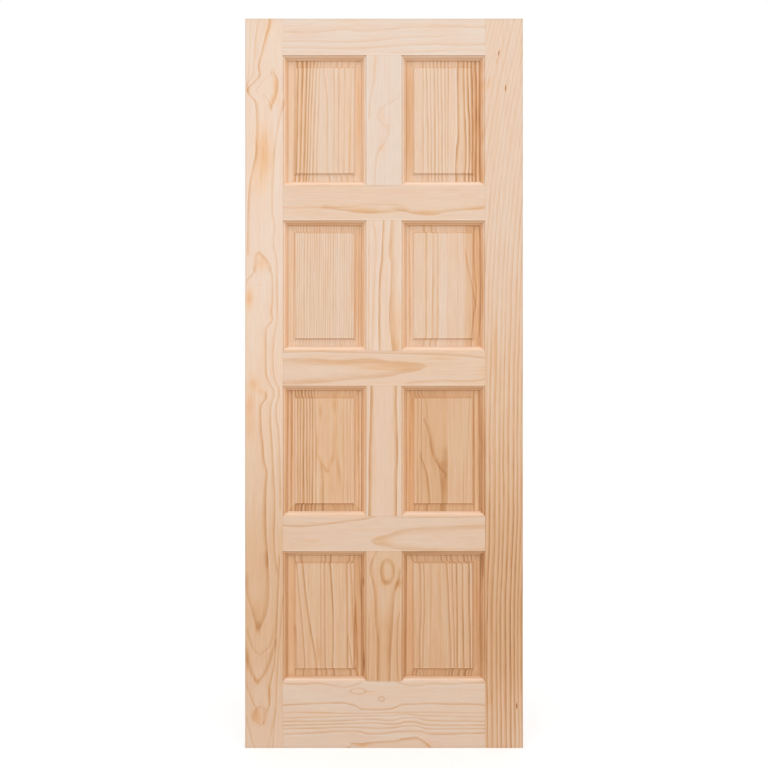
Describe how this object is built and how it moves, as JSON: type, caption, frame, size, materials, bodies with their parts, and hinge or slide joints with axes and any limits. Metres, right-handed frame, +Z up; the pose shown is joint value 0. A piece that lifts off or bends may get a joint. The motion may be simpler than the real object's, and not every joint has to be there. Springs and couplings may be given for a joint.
{
  "type": "panel door leaf",
  "caption": "Bare pine door leaf with coped stiles, rails and mullions holding two columns of raised panels in moulded openings, ready to hang in a frame.",
  "frame": {"origin": "on the hinge edge, at the foot of the leaf, midway through its thickness", "axes": "+X across the leaf from the hinge edge to the lock edge, +Y through its thickness from the front to the back, +Z up"},
  "size_m": [0.8, 0.04, 2.1],
  "materials": {
    "pine_stile": "bare sanded clear pine, no stain or varnish",
    "pine_rail": "bare sanded clear pine, no stain or varnish",
    "pine_mullion": "bare sanded clear pine, no stain or varnish",
    "pine_panel": "bare sanded clear pine, no stain or varnish"
  },
  "bodies": {
    "root": {"hinge_stile": "pine_stile", "lock_stile": "pine_stile", "top_rail": "pine_rail", "cross_rail_1": "pine_rail", "cross_rail_2": "pine_rail", "cross_rail_3": "pine_rail", "bottom_rail": "pine_rail", "mullion_1": "pine_mullion", "mullion_2": "pine_mullion", "mullion_3": "pine_mullion", "mullion_4": "pine_mullion", "panel_1_left": "pine_panel", "panel_1_right": "pine_panel", "panel_2_left": "pine_panel", "panel_2_right": "pine_panel", "panel_3_left": "pine_panel", "panel_3_right": "pine_panel", "panel_4_left": "pine_panel", "panel_4_right": "pine_panel"}
  },
  "joints": []
}
